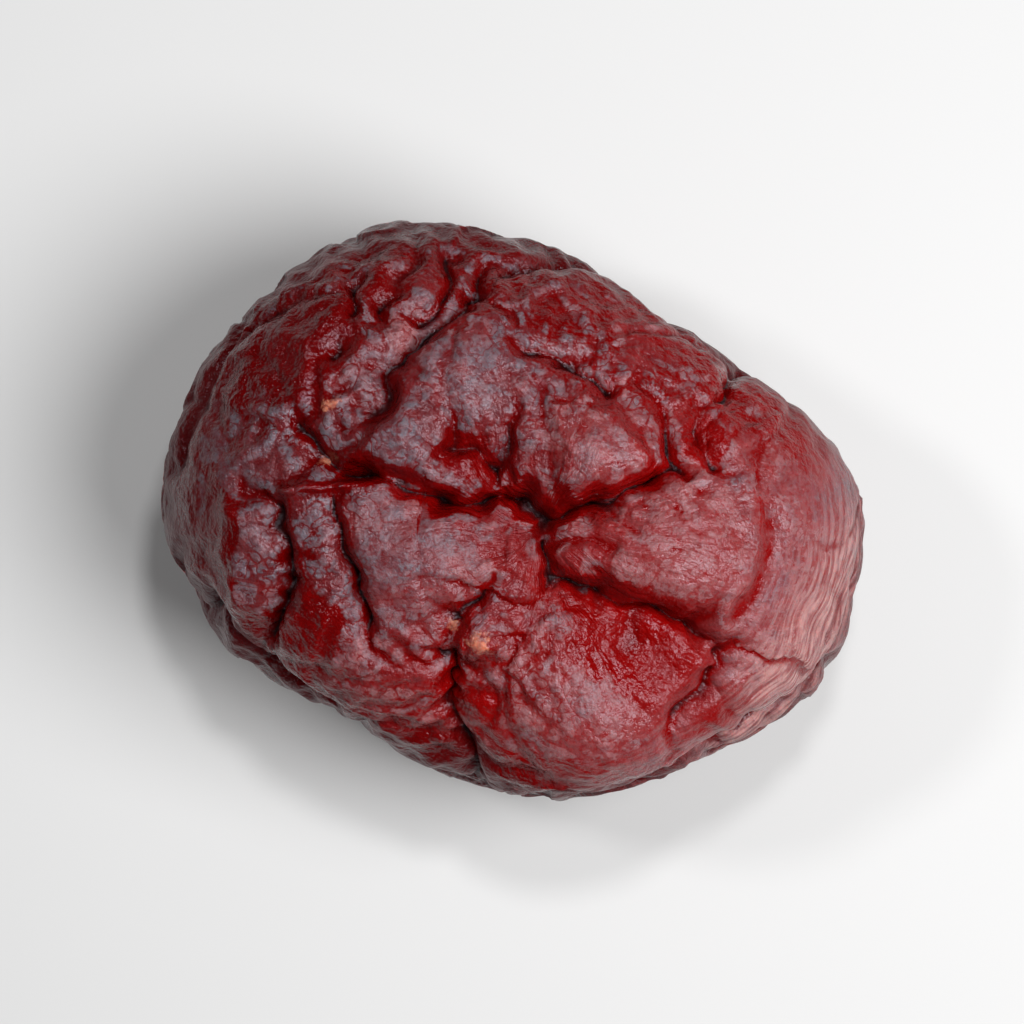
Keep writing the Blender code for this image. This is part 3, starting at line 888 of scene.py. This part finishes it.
def skin_relief(sheet, values):
    """Normals of the relief that is too fine for the mesh."""
    height = sheet.total(0.0, RISE_SUM, values)
    for name, (_, _, rise) in CREASES.items():
        height = sheet.math("ADD", height, sheet.product(values[name], values["crumpling"], rise))
    bump = sheet.add("ShaderNodeBump")
    for name, value in (("Strength", 1.0), ("Distance", 1.0), ("Height", height)):
        sheet.feed(bump.inputs[name], value)
    return bump.outputs["Normal"]


def skin_material(skin):
    """Glossy, finely wrinkled skin over dark translucent flesh."""
    material = bpy.data.materials.new("cranberry_skin")
    sheet = NodeSheet(material)
    values = skin_values(sheet)
    values["film_and_sheen"] = film_and_sheen_cover(sheet, values, skin.film_and_sheen)
    smoothest = skin.roughness - ROUGHNESS_BELOW
    roughest = skin.roughness + ROUGHNESS_ABOVE
    roughness = sheet.spread(values["dulling"], *DULLING_RANGE, smoothest, roughest)
    settings = {
        "Base Color": skin_colour(sheet, values, skin),
        "Roughness": sheet.total(roughness, ROUGHNESS_SUM, values),
        "Normal": skin_relief(sheet, values),
        "Metallic": 0.0,
        "IOR": SKIN_IOR,
        "Specular IOR Level": skin.gloss,
        "Specular Tint": (*skin.bloom, 1.0),
        "Subsurface Weight": skin.glow,
        "Subsurface Radius": GLOW_SPREAD,
        "Subsurface Scale": skin.glow_depth,
    }
    for name, value in settings.items():
        sheet.feed(sheet.shader.inputs[name], value)
    return material


def floor_material(colour):
    """Plain, dull floor."""
    material = bpy.data.materials.new("pale_floor")
    material.use_nodes = True
    shader = material.node_tree.nodes["Principled BSDF"]
    shader.inputs["Base Color"].default_value = (*colour, 1.0)
    shader.inputs["Roughness"].default_value = FLOOR_ROUGHNESS
    return material


def length_property(name, description, default, precision=4):
    return FloatProperty(
        name=name, description=description, default=default, unit="LENGTH", precision=precision)


def share_property(name, description, default, highest=1.0):
    return FloatProperty(
        name=name, description=description, default=default, min=0.0, max=highest, subtype="FACTOR")


def power_property(name, description, default):
    return FloatProperty(name=name, description=description, default=default, unit="POWER")


def colour_property(name, description, default):
    return FloatVectorProperty(name=name, description=description, default=default, subtype="COLOR")


class CranberryForm(bpy.types.PropertyGroup):
    """Sizes of the berry and of its wrinkles."""

    length: length_property("Length", "Size along X", BOX_SIZE.x)
    width: length_property("Width", "Size along Y", BOX_SIZE.y)
    height: length_property("Height", "Size along Z", BOX_SIZE.z)
    grid_level: IntProperty(
        name="Grid level", description="How often each side of the cube is halved", default=7, min=4, max=7)
    skin_growth: share_property("Skin growth", "How much too large the skin is for the flesh", 0.09, 0.3)
    broad_wrinkle: length_property("Broad wrinkle", "Natural length of the broad wrinkles", 1.4 * MM, 5)
    fine_wrinkle: length_property("Fine wrinkle", "Natural length of the fine wrinkles", 0.46 * MM, 5)


class CranberrySkin(bpy.types.PropertyGroup):
    """Colours and finish of the skin, with painted shade, painted light and a painted sheen among its
    colours.
    """

    # Deep and bright red: darker towards the upper left as painted shade, lighter towards the lower right
    # as painted light
    deep_red: colour_property("Deep red", "Thick, dark flesh", (0.100, 0.0002, 0.0004))
    bright_red: colour_property("Bright red", "Thin, light flesh", (0.205, 0.0010, 0.0010))
    # Painted shade at the bottom of the shallow valleys
    painted_valley_shade: colour_property("Valley red", "Bottom of the shallow valleys", (0.075, 0.0003, 0.0005))
    # Painted shade at the bottom of the deep folds
    painted_fold_shade: colour_property("Fold red", "Bottom of the deep folds", (0.014, 0.0002, 0.0004))
    # Painted shade round the sides and below
    painted_flank_shade: colour_property("Flank red", "Flesh round the sides and below", (0.062, 0.0003, 0.0006))
    # Dark and light film: a dull film with a painted sheen on the faces turned up
    dark_film_and_sheen: colour_property("Dark film", "Dull film on the dark flesh", (0.130, 0.112, 0.134))
    light_film_and_sheen: colour_property("Light film", "Dull film on the light flesh", (0.29, 0.128, 0.136))
    # Painted shade on the film in the hollows
    painted_hollow_shade: colour_property("Film shade", "Film in the hollows", (0.035, 0.018, 0.024))
    # Pale dry tip at the right end, partly painted highlight
    pale_tip_and_highlight: colour_property("Pale tip", "Dry film at the right end", (0.54, 0.30, 0.28))
    # Strength of the film and of its painted sheen
    film_and_sheen: share_property("Film", "Strength of the film where it lies on the skin", 0.85)
    fleck_brown: colour_property("Fleck brown", "Dark parts of the dried flecks", (0.24, 0.07, 0.055))
    fleck_tan: colour_property("Fleck tan", "Light parts of the dried flecks", (0.50, 0.17, 0.10))
    roughness: share_property("Roughness", "Mean roughness of the skin", 0.17)
    gloss: share_property("Gloss", "Strength of the reflections", 0.26)
    bloom: colour_property("Bloom", "Tint of the reflections", (0.92, 0.88, 1.0))
    glow: share_property("Glow", "Share of the light that passes through the flesh", 0.5)
    glow_depth: length_property("Glow depth", "How far red light spreads in the flesh", 0.9 * MM, 5)


class CranberryStage(bpy.types.PropertyGroup):
    """Floor, light and camera."""

    floor_colour: colour_property("Floor", "Colour of the floor", (0.66, 0.66, 0.66))
    floor_size: length_property("Floor size", "Side of the floor", 0.6)
    key_light: power_property("Key light", "Power of the large soft light", 0.094)
    fill_light: power_property("Fill light", "Power of the small soft light", 0.042)
    left_light: power_property("Left light", "Power of the small soft light at the left", 0.020)
    sky: FloatProperty(name="Sky", description="Strength of the even light from all round", default=0.04)
    view_width: length_property(
        "View width", "Width that the camera sees at the berry's middle", BOX_SIZE.x * VIEW_MARGIN)


class CRANBERRY_OT_berry(bpy.types.Operator):
    """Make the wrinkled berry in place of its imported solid"""

    bl_idname = "cranberry.make_berry"
    bl_label = "Make the berry"

    def execute(self, context):
        form = context.scene.cranberry_form
        mesh, directions, quads = sphere_grid(form.grid_level)
        beside, across = neighbour_tables(quads, len(directions))
        start = body_point(directions)
        tight = 1.0 - looseness(start)
        growth = form.skin_growth * above_foot(start)
        broad_growth = BROAD_SHARE * growth * (1.0 - tight)
        fine_growth = growth * (1.0 - TIGHT_LOSS * tight)
        points = shaped(directions)
        points = grown(points, quads, beside, across, broad_growth, form.broad_wrinkle / MM, BROAD_SEED)
        points = grown(points, quads, beside, across, fine_growth, form.fine_wrinkle / MM, FINE_SEED)
        normals = vertex_normals(points, quads)
        store(mesh, "upward", smooth_step(normals[:, 2], *UPWARD_SLOPES))
        store(mesh, "flank", 1.0 - smooth_step(body_normal(start)[:, 2], *FLANK_SLOPES))
        store(mesh, "tight", tight)
        for name, passes in RELIEF_PASSES.items():
            store(mesh, name, stands_out(points, normals, beside, passes))
        for name, spots in STORED_SPOTS.items():
            store(mesh, name, covered(start, spots))
        mesh.vertices.foreach_set("co", fitted_to_box(points, form).ravel())
        mesh.update()
        mesh.shade_smooth()
        mesh.name = "wrinkled_berry"
        mesh.materials.append(skin_material(context.scene.cranberry_skin))
        berry = bpy.data.objects.new("wrinkled_berry", mesh)
        context.scene.collection.objects.link(berry)
        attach(berry, BODY)
        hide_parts(NODE)
        return {"FINISHED"}


def soft_light(scene, name, place, target, size, power):
    """A round soft light that shines from its place at the target."""
    data = bpy.data.lights.new(name, "AREA")
    data.shape = "DISK"
    data.size = size
    data.energy = power
    lamp = bpy.data.objects.new(name, data)
    lamp.location = place
    lamp.rotation_euler = (target - Vector(place)).to_track_quat("-Z", "Y").to_euler()
    scene.collection.objects.link(lamp)


class CRANBERRY_OT_stage(bpy.types.Operator):
    """Make the floor, the lights and the camera"""

    bl_idname = "cranberry.make_stage"
    bl_label = "Make the stage"

    def execute(self, context):
        scene = context.scene
        stage = scene.cranberry_stage
        middle = (BOX_LOW + BOX_HIGH) / 2.0
        bpy.ops.mesh.primitive_plane_add(size=stage.floor_size, location=(0.0, 0.0, BOX_LOW.z))
        floor = context.object
        floor.name = "floor"
        floor.data.materials.append(floor_material(stage.floor_colour))
        for name, (place, size) in LIGHTS.items():
            soft_light(scene, name, place, middle, size, getattr(stage, name))
        world = bpy.data.worlds.new("even_light")
        world.use_nodes = True
        sky = world.node_tree.nodes["Background"]
        sky.inputs["Color"].default_value = WHITE
        sky.inputs["Strength"].default_value = stage.sky
        scene.world = world
        data = bpy.data.cameras.new("camera")
        data.lens = LENS
        data.clip_start = NEAREST_SEEN
        camera = bpy.data.objects.new("camera", data)
        distance = stage.view_width * data.lens / data.sensor_width
        camera.location = (middle.x, middle.y, middle.z + distance)
        scene.collection.objects.link(camera)
        scene.camera = camera
        scene.view_settings.view_transform = "Standard"
        return {"FINISHED"}


class CRANBERRY_PT_panel(bpy.types.Panel):
    """Lists the berry and its stage"""

    bl_idname = "CRANBERRY_PT_panel"
    bl_label = "Dried cranberry"
    bl_space_type = "VIEW_3D"
    bl_region_type = "UI"
    bl_category = "Cranberry"

    def draw(self, context):
        for title, group, operator in (
            ("Berry", context.scene.cranberry_form, CRANBERRY_OT_berry.bl_idname),
            ("Skin", context.scene.cranberry_skin, None),
            ("Stage", context.scene.cranberry_stage, CRANBERRY_OT_stage.bl_idname),
        ):
            box = self.layout.box()
            box.label(text=title)
            for name in group.bl_rna.properties.keys():
                if name not in {"rna_type", "name"}:
                    box.prop(group, name)
            if operator:
                box.operator(operator)


CLASSES = (
    CranberryForm,
    CranberrySkin,
    CranberryStage,
    CRANBERRY_OT_berry,
    CRANBERRY_OT_stage,
    CRANBERRY_PT_panel,
)


def register():
    for cls in CLASSES:
        bpy.utils.register_class(cls)
    bpy.types.Scene.cranberry_form = PointerProperty(type=CranberryForm)
    bpy.types.Scene.cranberry_skin = PointerProperty(type=CranberrySkin)
    bpy.types.Scene.cranberry_stage = PointerProperty(type=CranberryStage)


def unregister():
    del bpy.types.Scene.cranberry_stage
    del bpy.types.Scene.cranberry_skin
    del bpy.types.Scene.cranberry_form
    for cls in reversed(CLASSES):
        bpy.utils.unregister_class(cls)


def main():
    register()
    bpy.ops.cranberry.make_berry()
    bpy.ops.cranberry.make_stage()


if __name__ == "__main__":
    main()
